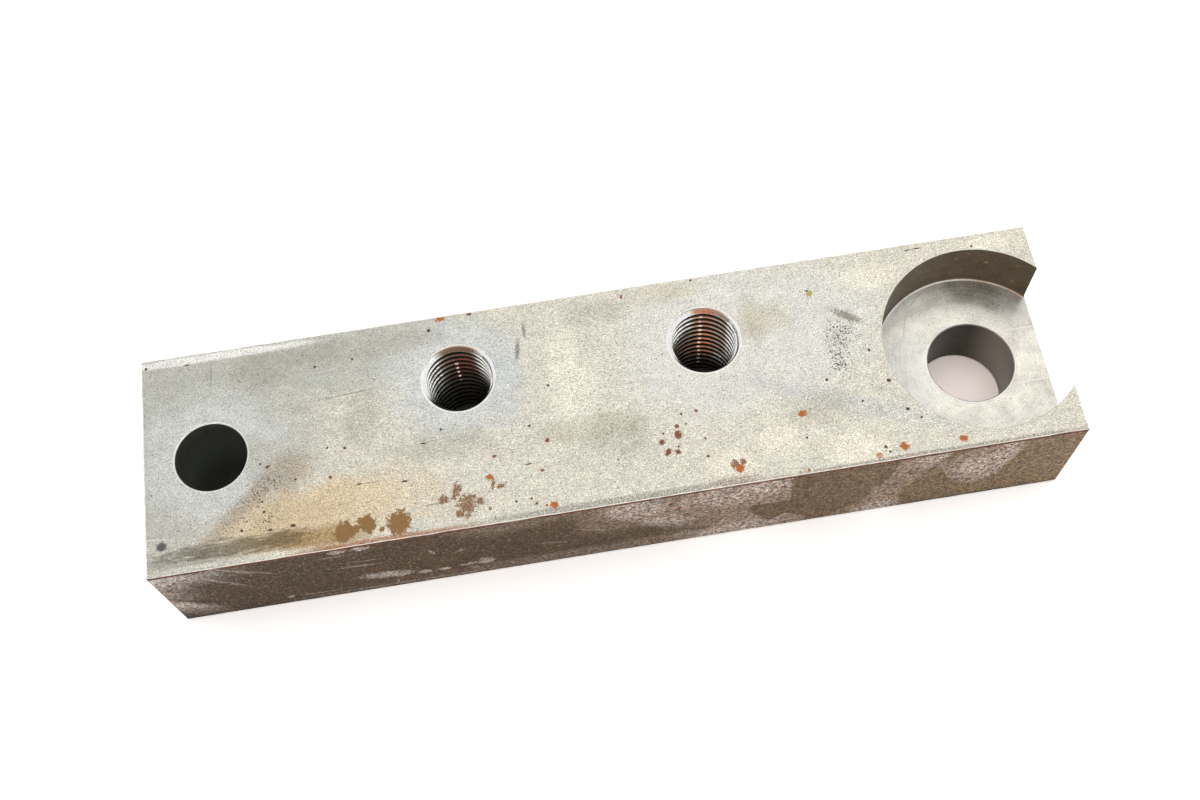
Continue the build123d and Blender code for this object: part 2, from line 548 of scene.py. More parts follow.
def top_steel():
    """The ground top face: cream to blue-grey steel with a fine grain, handling marks, pits and rust."""
    steel = Shader("ground_steel", CREAM_STEEL, 1, 0.42)
    face = steel.chart(ALONG, BACK, LEFT_FRONT)
    cloud = steel.noise(9, 4, 0.6)
    wisp = steel.noise(3, 3, 0.65, stretch=(1.6, 1, 1), seed=4)
    grain = steel.noise(0.42, seed=1)
    brush = steel.noise(0.4, 3, 0.7, stretch=(4, 1, 1), seed=2)
    fleck = steel.noise(0.5, 3, 0.8, seed=17)
    streaks = steel.noise(0.8, 4, 0.75, stretch=(7, 1, 1), seed=9)

    # slow changes of colour: bluer rings round the holes, a browner film towards the front left
    drift = steel.math("ADD", steel.math("MULTIPLY", cloud, 1.3), steel.math("MULTIPLY", wisp, 0.6))

    def zone(marks, soft):
        return steel.spread(face, marks, drift, 0.9, 1.8 + soft, 1.45 - soft)

    def film(marks, soft, amount, colour, rough=None):
        steel.layer(zone(marks, soft), colour, rough=rough, amount=amount)

    grey = zone([(14, 42, 30, 30), (45, 62, 45, 12)], 0.3)
    bluer_rings = zone([(20, 35, 17), (95, 48, 17, 15)], 0.2)
    pale = zone([(170, 48, 20), (200, 48, 18, 16)], 0.3)
    steel.layer(grey, GREY_STEEL, rough=0.44)
    steel.layer(bluer_rings, BLUE_STEEL)
    steel.layer(pale, PALE_STEEL)
    film([(207, 21, 27, 2.6, -23), (108, 45, 5, 11)], 0.4, 0.4, (186, 189, 190))
    film(DULL_AREAS, 0.5, 0.5, (170, 167, 153))
    film(LIGHT_AREAS, 0.4, 0.6, (230, 224, 206))
    film([(52, 12, 24, 7.5, 4)], 0.4, 0.75, (214, 194, 160), 0.46)
    film([(42, 11, 13, 5.5, 12)], 0.5, 0.65, TAN_FILM, 0.5)
    film([(188, 52, 8, 4.5), (162, 66, 9, 3)], 0.5, 0.5, (192, 183, 160))
    film([(51, 3.8, 11, 3)], 0.4, 0.85, (168, 138, 96), 0.5)
    band = zone([(30, 19, 15, 2, 42), (43, 27, 5, 5)], 0.45)
    steel.layer(steel.both(band, steel.ramp(wisp, 0.35, 0.6)), (156, 132, 98), rough=0.55, amount=0.35)
    steel.layer(steel.both(band, steel.ramp(fleck, 0.49, 0.57)), (136, 108, 72), rough=0.55, amount=0.55)
    film([(38, 61, 9, 5), (55, 63, 16, 3), (82, 63, 8, 2.5)], 0.5, 0.35, (150, 146, 132))
    film([(133, 25, 13, 3), (133, 28.5, 9, 0.8)], 0.35, 0.4, (166, 162, 142))
    film([(129, 38, 5, 9, -12), (127, 48, 4, 8)], 0.4, 0.6, (226, 223, 206))
    # painted highlight: a white band along the back edge at the left
    film([(22, 68, 24, 1.1)], 0.2, 0.8, BRIGHT_STEEL)

    # the smear of dried fluid along the front left
    def smear(mark, uneven, amount, colour):
        wet = steel.spread(face, [mark], streaks, uneven, 1.5, 0.45)
        steel.layer(wet, colour, metal=0.65, rough=0.55, amount=amount)

    smear((3, 4.4, 12, 3), 3.6, 0.4, (122, 120, 114))
    smear((24, 5.6, 18, 2.7), 3.6, 0.75, SMEAR)
    smear((39, 6, 8, 2.3), 3.2, 0.8, OLIVE_SMEAR)
    smear((30, 1.6, 24, 0.9), 2, 0.5, (222, 220, 208))
    steel.layer(steel.marks(face, [(4.7, 9.2, 1.5, 1.3, 20)], 0.3, 0.8, 0.5), (98, 94, 90), 0.5, 0.6)
    scuff = steel.marks(face, [(213.8, 48.7, 4.4, 1.3, -36)], 0.4, 2, 0.6)
    steel.layer(scuff, (132, 121, 108), 0.5, 0.6, amount=0.75)

    # grain, scratches and pits; the grey areas and bluer rings are the smoothest
    calm = steel.either(steel.both(grey, 0.6), steel.both(steel.either(bluer_rings, pale), 0.5))
    steel.shade(steel.mixed(calm, grain, 0.5), 0.85)
    steel.shade(steel.mixed(calm, brush, 0.5), 0.5)
    steel.shade(steel.noise(0.26, 2, 0.6, stretch=(2, 1, 1), seed=19), 0.7)
    steel.shade(wisp, 0.25)
    steel.roughen(wisp, 0.16)
    steel.emboss(grain, 0.015)
    steel.emboss(brush, 0.01)
    steel.layer(steel.marks(face, DARK_SCRATCHES, 0.5, 0.8, 0.5), PIT, 0.7, 0.6, amount=0.5)
    steel.layer(steel.marks(face, BRIGHT_SCRATCHES, 0.5, 0.8, 0.5), BRIGHT_STEEL, 1, 0.35, amount=0.35)
    crowd = steel.spread(face, SPECK_CLUSTERS, wisp, 1.6, 1.5, 0.2)
    worn = steel.spread(face, WORN_SPECKS, wisp, 2.4, 2, 0)
    steel.layer(steel.pits(0.6, crowd, 0.02, 5), PIT, 0.3, 0.7)
    steel.layer(steel.pits(0.55, steel.both(worn, 1.5), 0.02, 15), PIT, 0.3, 0.7)
    steel.layer(steel.pits(0.4, 0.5, 0.015, 8), PIT, 0.5, 0.6, amount=0.75)
    steel.layer(steel.marks(face, DARK_DOTS, 0.3, 1.2, 0.3), (78, 58, 40), 0.1, 0.8, -0.03)

    # painted highlights on the rims of the holes, where their chamfers catch the light
    rims = [(PLAIN_HOLE, PLAIN_RADIUS + 0.4)] + [(axis, COUNTERSINK_RADIUS + 0.15) for axis in TAPPED_HOLES]
    for (x, y), reach in rims:
        away = steel.vector("DISTANCE", face, (x + LENGTH / 2, y + WIDTH / 2, 0))
        steel.layer(steel.ramp(away, reach + 0.15, reach - 0.1), (255, 254, 250), 0.1, 0.4)

    # rust
    rust = dict(metal=0, rough=0.85, lift=0.03)
    steel.layer(steel.marks(face, BLOTCHES, 0.12, 1.3, 1.6, seed=11), BROWN_RUST, **rust)
    clumps = steel.marks(face, BROWN_SPOTS, 0.2, 2, 1.2, seed=12)
    steel.layer(steel.both(clumps, steel.ramp(fleck, 0.38, 0.46)), (140, 98, 62), amount=0.95, **rust)
    steel.layer(steel.marks(face, RED_SPOTS, 0.2, 1.5, 0.5, seed=13), RED_RUST, **rust)
    steel.layer(steel.marks(face, ORANGE_SPOTS, 0.2, 1.4, 0.6, seed=14), ORANGE_RUST, **rust)
    steel.layer(steel.marks(face, [(204.6, 58.1, 0.9)], 0.2, 1.2, 0.5), (188, 168, 84), **rust)

    def edge_stain(mark, edge, amount, colour):
        near = steel.ramp(steel.nearest(face, [mark]), 1.3, 0.5)
        stain = steel.both(near, steel.ramp(fleck, edge, edge + 0.15))
        steel.layer(stain, colour, 0.2, 0.8, amount=amount)

    edge_stain((70, 0.6, 26, 1.2), 0.38, 0.9, (170, 104, 56))
    edge_stain((171, 1.5, 7.5, 1.6), 0.45, 0.8, (140, 100, 62))
    edge_stain((136, 1.3, 46, 1.2), 0.42, 0.75, (120, 114, 108))
    edge_stain((232, 0.7, 50, 0.8), 0.42, 0.75, (120, 98, 80))
    edge_stain((234, 2.2, 40, 0.7), 0.42, 0.6, (234, 230, 216))
    steel.shade(steel.noise(0.9, 4, 0.75, seed=6), 0.3)
    return steel


def turned_steel():
    """The counterbore's floor: bright turned steel with fine rings and a few later scratches."""
    steel = Shader("turned_steel", (215, 211, 199), 0.8, 0.26)
    face = steel.chart(ALONG, BACK, LEFT_FRONT)
    arm = steel.chart(ALONG, BACK, (*COUNTERBORE, 0))
    radius = steel.vector("LENGTH", arm)
    rings = steel.add("CombineXYZ", [radius])
    lathe = steel.noise(0.3, 3, 0.7, at=rings)
    swirl = steel.noise(0.5, 3, 0.7, at=steel.vector("ADD", rings, steel.vector("SCALE", arm, scale=0.05)))
    cloud = steel.noise(6, 4, 0.6)
    grain = steel.noise(0.5, seed=1)

    # painted sheen beside the wall on the left, where the turning marks scatter the light
    unit = steel.vector("NORMALIZE", arm)
    side = steel.ramp(steel.vector("DOT_PRODUCT", unit, (-0.9, 0.44, 0)), 0.35, 0.9)
    near = steel.ramp(steel.vector("LENGTH", steel.vector("ADD", arm, (5.2, 8, 0))), 28, 31.5)
    steel.layer(steel.both(side, near), (253, 251, 241), metal=0.2, rough=0.45)
    # a painted highlight on the floor's left part
    painted_highlight = steel.ramp(steel.nearest(face, [(231, 30, 8, 18, -15)]), 1.6, 0.6)
    steel.layer(painted_highlight, (255, 254, 244), metal=0.1, rough=0.4, amount=0.9)
    open_end = steel.ramp(steel.nearest(face, [(271.5, 52, 5, 7)]), 1.7, 0.5)
    steel.layer(open_end, (196, 194, 188), metal=0.3, rough=0.4, amount=0.5)
    for noise_map, amount in ((cloud, 0.5), (grain, 0.5), (swirl, 0.35)):
        steel.shade(noise_map, amount)
    steel.roughen(cloud, 0.2)
    steel.roughen(swirl, 0.3)
    steel.emboss(lathe, 0.002)
    steel.emboss(swirl, 0.005)
    crossed = [(267.5, 52.5, 5, 0.1, a) for a in (50, 56, 118, 125)]
    crossed += [(266, 51, 4, 0.1, a) for a in (44, 62, 130)]
    crossed += [(265.5, 53.5, 4, 0.1, a) for a in (20, 75, 110)]
    steel.layer(steel.marks(face, crossed, 0.5, 0.4, 0.5), BRIGHT_STEEL, rough=0.4, amount=0.4)
    witness = [(269.2, 44, 6, 0.22), (269.2, 25.8, 6, 0.22)]
    steel.layer(steel.marks(face, witness, 0.4, 0.3, 0.8), BRIGHT_STEEL, rough=0.35, amount=0.5)
    # painted light: a thin orange arc across the floor
    arc_distance = steel.vector("DISTANCE", face, (*LIGHT_ARC_CENTRE, 0))
    part = steel.ramp(steel.nearest(face, [(239, 56.5, 12, 8, 55)]), 1.1, 0.7)
    outward = steel.ramp(arc_distance, LIGHT_ARC_RADIUS - 0.45, LIGHT_ARC_RADIUS + 0.15)
    inward = steel.ramp(arc_distance, LIGHT_ARC_RADIUS + 0.45, LIGHT_ARC_RADIUS - 0.15)
    painted_light_arc = steel.both(outward, inward, part, steel.ramp(cloud, 0.35, 0.6))
    steel.layer(painted_light_arc, (226, 168, 130), 0.5, 0.4, amount=0.8)
    steel.layer(steel.pits(0.6, 0.3, 0.03, 5), (110, 96, 78), 0.3, 0.6, amount=0.5)
    # a painted highlight round the bore's rim
    steel.layer(steel.ramp(radius, BORE_RADIUS + 0.7, BORE_RADIUS + 0.4), (240, 239, 234), 0.4, 0.3)
    return steel


def edge_steel():
    """Broken edges: a painted highlight round the top, brown under the lip of the front edge, and painted
    shade at the bottom.
    """
    steel = Shader("edge_steel", (176, 166, 152), 0.4, 0.42)
    run = steel.noise(2.5, 4, 0.6, stretch=(5, 1, 1), seed=3)
    level = steel.toward(UP)
    # painted highlight along the top edges
    steel.layer(steel.ramp(level, HEIGHT - 1, HEIGHT - 0.4), (236, 232, 222))
    lip = steel.both(
        steel.ramp(level, HEIGHT - 0.03, HEIGHT - 0.1),
        steel.ramp(level, HEIGHT - 2, HEIGHT - 1),
        steel.ramp(steel.toward((0, -1, 0)), WIDTH / 2 - 0.6, WIDTH / 2 - 0.3),
        steel.ramp(run, 0.15, 0.45),
    )
    steel.layer(lip, (104, 60, 42), 0, 0.85)
    # painted shade along the bottom edges, where they meet the floor
    steel.layer(steel.ramp(level, 1, 0.5), (92, 80, 66), metal=0.2, rough=0.7)
    steel.shade(steel.noise(1.5, 4, 0.7, stretch=(2, 1, 1), seed=5), 0.8)
    steel.emboss(steel.noise(0.5, 2, 0.5), 0.03)
    return steel


def root_steel():
    """The round root of the counterbore: a painted highlight, white on the left and orange on the right."""
    steel = Shader("root_steel", (236, 234, 228), 0.3, 0.3)
    run = steel.noise(1.5, 4, 0.7, seed=3)
    rightward = steel.ragged(steel.toward(ALONG), run, 14)
    right = steel.ramp(rightward, COUNTERBORE[0] + 2, COUNTERBORE[0] + 12)
    # painted orange highlight on the right
    steel.layer(steel.both(right, steel.ramp(run, 0.35, 0.55)), (206, 140, 104), 0.2, 0.5, amount=0.75)
    steel.shade(run, 0.5)
    steel.layer(steel.ramp(steel.toward(UP), FLOOR_Z + 0.1, FLOOR_Z + 0.3), DARK_WALL, 0.1, 0.5)
    return steel


def oxide_coat(name, colour):
    """The dull coat that rolling and storage leave, before any patches."""
    coat = Shader(name, colour, 0.1, 0.62, gloss=0.25)
    coat.shade(coat.noise(7, 4, 0.6, seed=2), 0.4)
    return coat


def weather(coat, strength=1):
    """The reddish, greenish and pale flecks and the grain over coat and patches alike, which come last."""
    reddish, greenish = (coat.noise(0.9, seed=seed) for seed in (41, 42))
    coat.layer(coat.ramp(reddish, 0.52, 0.6), (112, 70, 48), amount=0.4)
    coat.layer(coat.ramp(greenish, 0.54, 0.62), (104, 108, 84), amount=0.3)
    coat.layer(coat.pits(0.8, 0.4, 0.02, 4), (184, 168, 138), 0.3, 0.6, amount=0.8 * strength)
    coat.shade(coat.noise(1, seed=12), 2.4 * strength)
    coat.shade(coat.noise(0.5, seed=1), 1.9 * strength)
    coat.emboss(coat.noise(0.5, 3, 0.7, seed=5), 0.03)
    return coat


def bare_patches(coat, face, mask, colour=BARE_PATCH):
    """Paler, pinkish metal where the coat is gone, with dark and red specks."""
    coat.layer(mask, colour, metal=0.5, rough=0.45, amount=0.94)
    coat.layer(coat.both(coat.pits(1, 1.2, 0.02, 2), mask), (64, 46, 36), 0.2, 0.7, amount=0.85)
    coat.layer(coat.specks(face, 2.6, 1.4, mask, seed=3), (118, 62, 46), 0, 0.8, amount=0.75)


# On the front face, in millimetres from its lower left corner
MIDDLE_BARE = [
    [(131, 29), (150, 15), (166, 9), (200, 9), (200, 41), (127, 41)],
    [(150, -2), (200, -2), (200, 12), (166, 9)],
]
HIGH_RUB = [
    [(86, 41), (86, 37.5), (96, 33), (124, 33), (140, 41)],
    [(122, 26), (131, 17.5), (142, 17), (142, 41), (122, 41)],
]
LOW_RUB = [
    [(36, -2), (166, -2), (160, 8.5), (112, 7.5), (36, 5)],
]
BAND = [
    [(196, -2), (224, -2), (222.4, 14), (213, 22), (196, 22)],
    [(196, 14), (222.4, 14), (235.6, 41), (196, 41)],
]
POOL = [
    [(245.9, 9.9), (250.2, 12.8), (253, 17.1), (255.3, 27.8), (257.5, 37.8), (252, 41), (240.3, 38),
     (231.9, 31.5), (231.9, 28.4), (238.4, 15.9), (240.3, 12.1)],
]
KEPT_COAT = [
    [(198.6, -1), (211.3, 10.9), (213.3, 14.5), (213.3, 22), (187.6, 22), (187.6, 11)],
    [(187.6, 20), (213.3, 20), (217.8, 25.3), (219.4, 41), (187.6, 41)],
    [(182.3, 5.8), (188, 11.5), (188, 20.5), (176.3, 21.5), (175.6, 19), (177.5, 13.4)],
]
DARK_BLOBS = [(117.7, 28, 5.5, 7.2), (141, 13.5, 9, 4.6, -18)]
DULL_BLOBS = [
    (153.5, 36.7, 6, 2), (157, 14, 8, 5), (236, 36.3, 6, 0.8, 32), (238, 34.2, 5, 0.6, 32),
]
BRIGHT_BARE = [
    (150, 18, 9, 6, -30), (170, 5, 16, 6), (252, 30, 4, 10), (172, 36, 20, 9),
    (229, 38, 5, 7), (142, 34, 10, 8), (245, 24, 7, 9, 20), (218, 3, 7, 4),
]
SWEEPS = [
    (26, 34.5, 9, 0.6, -36), (28, 33, 7, 0.5, -38), (23.5, 36, 6, 0.5, -45), (18.5, 28.5, 6, 0.7, -52),
    (16.5, 31, 5, 0.5, -50), (22, 25, 5, 0.4, -55),
]
SHADOW_LINES = [
    (104, 20, 0.4, 1.2), (2.5, 1.2, 7, 1.6, -20), (7.5, 15.4, 9, 0.9, -36), (249, 1, 26, 0.5),
]
PALE_CHIPS = [
    (64.6, 12, 7, 2.5, -7), (61, 12.6, 3.4, 2.2), (68.6, 11, 3, 2.3),
    (75.7, 9.2, 2.2, 1.3), (81.5, 9.1, 1.9, 1.1), (94.4, 10.5, 2.3, 2.4, 10),
    (89.6, 10, 2.6, 1, 10), (54.3, 38, 2.3, 1.7), (60.8, 38, 2.5, 1.6),
    (79.8, 25.4, 0.6, 1.7, 12), (33.7, 5.7, 1.4, 1, 60),
]
PALE_LINES = [
    (52.5, 34.4, 6, 0.35), (59.5, 27.3, 5.4, 0.35, -6), (58.2, 23.5, 6.8, 0.5, -2),
    (55.3, 25.6, 0.3, 2, 5), (88.1, 22.8, 1.6, 0.5, 22), (116, 16.7, 4.6, 0.4, -18),
    (128, 22.5, 4, 0.4, -25), (66.6, 4.8, 0.4, 1.9), (91.2, 5.4, 1, 2, 40),
    (102.2, 4.6, 0.5, 1.7, 10), (43, 5.4, 5, 0.5, -4), (66, 2.4, 34, 0.6),
]
RUSTY_DOTS = [
    (56.3, 39.2, 0.9), (88.3, 10.6, 0.6), (4.3, 33, 0.45), (5.9, 33.5, 0.45), (151.5, 34, 0.6),
    (154.2, 29.4, 0.7), (185, 33.6, 0.7), (205.8, 3.2, 0.7), (250.3, 36.5, 0.5),
]


def front_coat():
    """The front face, with each bare patch and rub mark in its place."""
    coat = oxide_coat("oxide_front", OXIDE)
    face = coat.chart(ALONG, UP, LEFT_FRONT)
    wave = coat.noise(2.4, 4, 0.75, seed=8)
    sway = coat.noise(9, 3, 0.6, seed=18)
    fleck = coat.noise(0.8, seed=9)
    across = coat.vector("DOT_PRODUCT", face, ALONG)
    level = coat.vector("DOT_PRODUCT", face, BACK)
    coat.layer(coat.ramp(across, 100, 285), PALE_OXIDE)
    coat.layer(coat.ramp(across, 75, 45), (56, 42, 25), amount=0.3)

    def area(outlines, soft, uneven=4):
        distance = coat.fold("MINIMUM", [coat.outline(face, corners) for corners in outlines])
        for noise_map, amount in ((wave, uneven), (sway, uneven), (fleck, 0.6 * uneven)):
            distance = coat.ragged(distance, noise_map, amount)
        return coat.ramp(distance, soft, -soft)

    def patch(marks):
        return coat.spread(face, marks, wave, 1.6, 1.5, 0.5)

    def rub(marks, soft, amount, colour=BARE_PATCH):
        away = coat.ragged(coat.ragged(coat.nearest(face, marks), wave, 1.6), fleck, 1.6)
        coat.layer(coat.ramp(away, 1 + soft, 1 - soft), colour, 0.4, 0.5, amount=amount)

    # the left end: a rubbed corner, sweeping streaks and a pale scuff
    rub([(0, 27, 8, 15)], 0.7, 0.4)
    rub([(0, 41, 18, 8, -12)], 0.7, 0.8, (190, 184, 176))
    rub(SWEEPS, 0.6, 0.4)
    rub([(6, 8, 9, 4, -36)], 0.6, 0.35)
    rub([(3, 13.6, 8, 2.2, -34)], 0.4, 0.7, (180, 172, 160))

    # wide bare areas towards the right, and the coat that is left between them
    lower = coat.math("MULTIPLY_ADD", coat.ramp(across, 60, 130), 0.4, 0.12)
    bare = coat.either(
        coat.both(area(MIDDLE_BARE, 3.5), 0.95),
        coat.both(area(HIGH_RUB, 4, 6), 0.48),
        coat.both(area(LOW_RUB, 2, 5), lower),
        area(BAND, 0.7, 2),
        area(POOL, 0.7, 1.6),
    )
    kept = coat.either(patch(DARK_BLOBS), coat.both(patch(DULL_BLOBS), 0.4), area(KEPT_COAT, 0.5, 1.4))
    shown = coat.both(bare, coat.outside(kept))
    bare_patches(coat, face, shown, coat.mixed(patch(BRIGHT_BARE), DULL_BARE, BARE_PATCH))

    # small knocks and rubs, painted shadow lines, a painted shadow at the bottom left, and the line of rust
    # under the top edge
    coat.layer(coat.marks(face, PALE_CHIPS, 0.25, 1.6, 0.9, seed=3), (178, 168, 157), 0.3, 0.5, amount=0.8)
    coat.layer(coat.marks(face, PALE_LINES, 0.5, 1.2, 0.8, seed=5), (170, 158, 142), 0.3, 0.5, amount=0.5)
    coat.layer(coat.marks(face, RUSTY_DOTS, 0.3, 1.4, 0.6, seed=6), (122, 54, 38), 0, 0.8)
    coat.layer(coat.marks(face, SHADOW_LINES, 0.5, 0.8), (48, 40, 32), 0.1, 0.7, amount=0.8)
    # painted shadow at the bottom left
    coat.layer(patch([(22, 1, 30, 4)]), (52, 40, 26), 0.1, 0.7, amount=0.5)
    coat.layer(coat.ramp(level, HEIGHT - 1.1, HEIGHT - 0.6), (108, 62, 46), 0, 0.8, amount=0.85)
    return weather(coat)


def other_coat():
    """The faces that the front face's marks don't reach: the same coat, worn through in patches."""
    coat = oxide_coat("oxide_side", (80, 64, 45))
    wear = coat.noise(26, 5, 0.6, stretch=(1.3, 1, 1), seed=21)
    crosswise = coat.chart((1, 1, 0), UP, LEFT_FRONT)
    bare_patches(coat, crosswise, coat.ramp(wear, 0.48, 0.6), DULL_BARE)
    streaks = coat.noise(1.4, 4, 0.7, stretch=(14, 14, 1), seed=23)
    coat.layer(coat.ramp(streaks, 0.62, 0.7), (176, 164, 150), 0.5, 0.5, amount=0.4)
    return weather(coat, 0.6)


def under_coat():
    """The underside, rubbed bright along its high places."""
    coat = oxide_coat("oxide_underside", (132, 122, 108))
    wear = coat.noise(18, 5, 0.6, stretch=(2, 1, 1), seed=31)
    bare_patches(coat, coat.chart(ALONG, BACK, LEFT_FRONT), coat.ramp(wear, 0.47, 0.56))
    streaks = coat.noise(0.6, 3, 0.7, stretch=(30, 1, 1), seed=33)
    coat.layer(coat.ramp(streaks, 0.6, 0.7), (190, 182, 168), 0.8, 0.4, amount=0.5)
    return weather(coat, 0.6)


def wall_coat(name, colour, rough, metal=0.1):
    """The walls of the counterbore and the holes, with turning marks under a dark film."""
    coat = Shader(name, colour, metal, rough, gloss=0.3)
    coat.shade(coat.noise(4, 3, 0.6, seed=2), 0.5)
    coat.shade(coat.noise(0.55, seed=1), 1)
    rings = coat.noise(0.3, 2, 0.6, stretch=(40, 40, 1), seed=7)
    coat.shade(rings, 0.12)
    coat.emboss(rings, 0.01)
    return coat


def counterbore_wall():
    """The counterbore's wall, with a few tan specks."""
    coat = wall_coat("counterbore_wall", DARK_WALL, 0.5)
    specks = coat.specks(coat.chart(ALONG, UP, (COUNTERBORE[0], 0, FLOOR_Z)), 4.5, 1.1, seed=6)
    coat.layer(specks, (206, 156, 112), 0.2, 0.6, amount=0.8)
    return coat


def bore_wall():
    """The wall under the counterbore, with a painted reflection of the bright floor that makes it lighter
    towards the open end.
    """
    coat = wall_coat("bore_wall", (66, 60, 48), 0.3, metal=0.8)
    # painted reflection of the bright floor, towards the open end
    lighter = coat.ramp(coat.toward(ALONG), COUNTERBORE[0] + 3, COUNTERBORE[0] + BORE_RADIUS + 1)
    coat.layer(lighter, (172, 164, 152), rough=0.35, amount=0.85)
    return coat


def drilled_wall():
    """The plain hole's wall, paler further down, where less light comes, so that it looks evenly dark."""
    coat = wall_coat("drilled_wall", (74, 74, 68), 0.35)
    depth = coat.math("SUBTRACT", HEIGHT, coat.toward(UP))
    coat.layer(coat.ramp(depth, 3, 22), (122, 127, 117))
    return coat


def thread_crest():
    """The narrow flats between the threads, painted near-black as shade, since they see only the dark of the
    hole.
    """
    steel = Shader("thread_crest", (25, 24, 20), 0.3, 0.5, gloss=0.15)
    steel.shade(steel.noise(0.8, 4, 0.75, seed=2), 1)
    return steel


class HoleMap:
    """Places on a tapped hole's wall, by angle from +X, by radius and by depth under the top face."""

    def __init__(self, steel, axis, uneven):
        self.steel = steel
        self.uneven = uneven
        arm = steel.chart(ALONG, BACK, (*axis, 0))
        self.radius = steel.vector("LENGTH", arm)
        self.unit = steel.vector("NORMALIZE", arm)
        self.depth = steel.math("SUBTRACT", HEIGHT, steel.toward(UP))
        self.here = steel.ramp(self.radius, COUNTERSINK_RADIUS + 4, COUNTERSINK_RADIUS + 2)

    def sector(self, angle, reach, soft):
        """The part of the wall within so many degrees of an angle."""
        turn = math.radians(angle)
        toward = self.steel.vector("DOT_PRODUCT", self.unit, (math.cos(turn), math.sin(turn), 0))
        toward = self.steel.ragged(toward, self.uneven, 0.25 * math.sin(math.radians(reach)))
        inner, outer = (math.cos(math.radians(reach + s)) for s in (-soft, soft))
        return self.steel.both(self.here, self.steel.ramp(toward, outer, inner))

    def below(self, start, end):
        """The part of the wall under a depth, which fades in from start to end."""
        return self.steel.ramp(self.steel.ragged(self.depth, self.uneven, 3), start, end)

    def between(self, start, end):
        """The part of the wall between two depths."""
        deeper = self.steel.outside(self.below(end - 3, end + 3))
        return self.steel.both(self.below(start - 1, start + 1), deeper)


# For each tapped hole, its films, which are tints and painted reflections: angle, reach and softness in
# degrees, the depths between which the film lies, its colour and its strength
THREAD_FILMS_AND_REFLECTIONS = [
    [
        (87, 32, 12, 0, 22, (112, 84, 64), 0.95),
        (79, 19, 9, 4, 17, (112, 54, 36), 0.65),
        (132, 14, 9, 5, 22, (112, 108, 96), 0.6),
    ],
    [
        (79, 20, 8, 0, 32, (180, 118, 86), 0.93),
        (79, 17, 8, 14, 36, (206, 134, 96), 0.8),
        (48, 12, 8, 0, 26, (150, 124, 100), 0.85),
        (124, 26, 9, 10, 20, (88, 74, 52), 0.8),
        (122, 30, 10, 18, 33, (132, 92, 66), 0.8),
    ],
]
# For each tapped hole: the depths over which the sides and the back fade into painted shade, the angle of
# the back, then the line of painted glints: its angle, the depths between which it lies, and its colour
THREAD_LIGHT = [
    ((15, 25), (7, 19), 75, (93, 8, 20), (255, 206, 186)),
    ((25, 38), (27, 37), 60, (85, 2, 36), (255, 232, 214)),
]


def thread_steel():
    """The threads' flanks: bright at the sides, with tints and painted reflections at the back, painted
    glints, and painted shade in the roots and further down.
    """
    steel = Shader("cut_thread", (236, 233, 226), 1, 0.28)
    chatter = steel.noise(0.8, 4, 0.75, seed=2)
    for axis, films, (sides, back, far, glints, glow) in zip(TAPPED_HOLES, THREAD_FILMS_AND_REFLECTIONS, THREAD_LIGHT):
        hole = HoleMap(steel, axis, chatter)
        # tints and painted reflections, brown and copper, towards the back of each hole
        for angle, reach, soft, start, end, film, amount in films:
            here = steel.both(hole.sector(angle, reach, soft), hole.between(start, end))
            steel.layer(here, film, rough=0.34, amount=amount)
        # painted shade: the sides and then the back darken further down the hole
        steel.layer(steel.both(hole.here, hole.below(*sides)), (86, 90, 79), rough=0.4)
        deep_back = steel.both(hole.sector(far, 40, 20), hole.below(*back))
        steel.layer(deep_back, (56, 46, 38), rough=0.4, amount=0.85)
        # a line of painted glints at the back, and painted white glints on the left side
        angle, start, end = glints
        line = steel.both(hole.sector(angle, 2, 1.5), hole.between(start, end))
        steel.layer(line, glow, rough=0.2, amount=0.85)
        sparks = steel.both(hole.sector(138, 14, 6), steel.ramp(chatter, 0.5, 0.56), hole.between(5, 14))
        steel.layer(sparks, (255, 252, 244), rough=0.2)
        # painted shadow in the roots, under each crest
        root = steel.ramp(hole.radius, CREST_RADIUS + 0.35, CREST_RADIUS + 0.5)
        steel.layer(steel.both(hole.here, root, hole.below(1, 2)), (18, 16, 13), 0.3, 0.5, amount=0.92)
    steel.shade(chatter, 1.3)
    steel.roughen(chatter, 0.5)
    steel.emboss(chatter, 0.03)
    return steel


# For each tapped hole: the angle, reach and colour of the tan tint and painted reflection on the
# countersink, and the painted glint's angle
RIM_REFLECTIONS_AND_GLINTS = [(86, 34, (204, 176, 146), 108), (74, 26, (206, 174, 150), 84)]


def rim_steel():
    """The countersinks: a painted highlight of white at the sides, a tan tint and painted reflection at the
    back, and painted shade at the front, where it is shaded.
    """
    steel = Shader("countersink", (255, 255, 255), 0, 0.3)
    wisp = steel.noise(1.2, 4, 0.7, seed=4)
    for axis, (angle, reach, film, glint) in zip(TAPPED_HOLES, RIM_REFLECTIONS_AND_GLINTS):
        hole = HoleMap(steel, axis, wisp)
        # tan tint and painted reflection at the back
        steel.layer(hole.sector(angle, reach, 12), film, metal=0.6, rough=0.4, amount=0.9)
        # painted glint
        steel.layer(hole.sector(glint, 6, 5), (255, 232, 214), metal=0.2, amount=0.75)
        # painted shade at the front
        front = steel.both(hole.sector(275, 68, 12), steel.ramp(hole.depth, 0.3, 0.5))
        steel.layer(front, (26, 23, 19), metal=0.3, rough=0.5)
    steel.shade(wisp, 0.2)
    return steel


# ---- putting the materials on
# Upward parts of a face's normal, then distances in millimetres
FLAT = 0.999
UPRIGHT = 0.05
THREAD_FLAT = 0.3
LEAST_SLOPE, MOST_SLOPE = 0.6, 0.8
CLOSE = 0.01
CLEAR = 1.0


